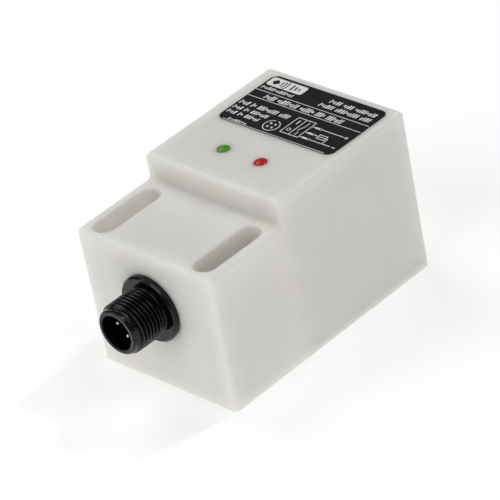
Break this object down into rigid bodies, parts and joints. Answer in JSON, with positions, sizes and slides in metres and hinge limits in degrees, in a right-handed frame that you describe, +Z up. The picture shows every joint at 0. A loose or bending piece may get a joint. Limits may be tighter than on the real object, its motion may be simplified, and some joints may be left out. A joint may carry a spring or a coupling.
{
  "type": "inductive proximity sensor",
  "caption": "Block-style inductive proximity sensor with a stepped plastic housing, two mounting slots, indicator lamps, a label and a threaded round connector.",
  "frame": {"origin": "middle of the bottom mounting face of the housing", "axes": "+X across the housing, +Y along the housing from the connector to the sensing face, +Z up, away from the mounting face"},
  "size_m": [0.04, 0.074, 0.0404],
  "materials": {
    "housing_plastic": "moulded, fine satin",
    "cover_plastic": "moulded, satin",
    "label_foil": "printed polyester foil, satin",
    "led_green": "tinted diffused epoxy",
    "led_red": "tinted diffused epoxy",
    "connector_plastic": "glass filled nylon, satin",
    "insert_plastic": "moulded, matte",
    "seal_rubber": "smooth",
    "nut_metal": "nickel plated, turned",
    "contact_metal": "gold flashed",
    "wire_brown": "extruded insulation",
    "wire_white": "extruded insulation",
    "wire_blue": "extruded insulation",
    "wire_black": "extruded insulation",
    "board_laminate": "solder resist over laminate",
    "holder_plastic": "moulded, matte",
    "chip_epoxy": "moulded epoxy",
    "tantalum_epoxy": "moulded epoxy",
    "chip_ceramic": "sintered, matte",
    "resistor_ceramic": "coated ceramic",
    "carrier_plastic": "moulded, satin",
    "ferrite": "ground, sintered",
    "bobbin_plastic": "moulded, satin",
    "copper_wire": "enamelled copper",
    "potting_resin": "cast resin"
  },
  "bodies": {
    "root": {"housing": "housing_plastic", "bottom_cover": "cover_plastic", "label": "label_foil", "led_green": "led_green", "led_red": "led_red", "connector_shell": "connector_plastic", "connector_seal": "seal_rubber", "lock_nut": "nut_metal", "contact_carrier": "insert_plastic", "contact_pin_1": "contact_metal", "contact_pin_2": "contact_metal", "contact_pin_3": "contact_metal", "contact_pin_4": "contact_metal", "wire_brown": "wire_brown", "wire_white": "wire_white", "wire_blue": "wire_blue", "wire_black": "wire_black", "circuit_board": "board_laminate", "led_holder": "holder_plastic", "sensor_chip": "chip_epoxy", "voltage_regulator": "chip_epoxy", "output_transistors": "chip_epoxy", "protection_diodes": "chip_epoxy", "buffer_capacitor": "tantalum_epoxy", "ceramic_capacitors": "chip_ceramic", "resistors": "resistor_ceramic", "coil_carrier": "carrier_plastic", "ferrite_core": "ferrite", "coil_bobbin": "bobbin_plastic", "coil_winding": "copper_wire", "coil_leads": "copper_wire", "potting_resin": "potting_resin"}
  },
  "joints": []
}
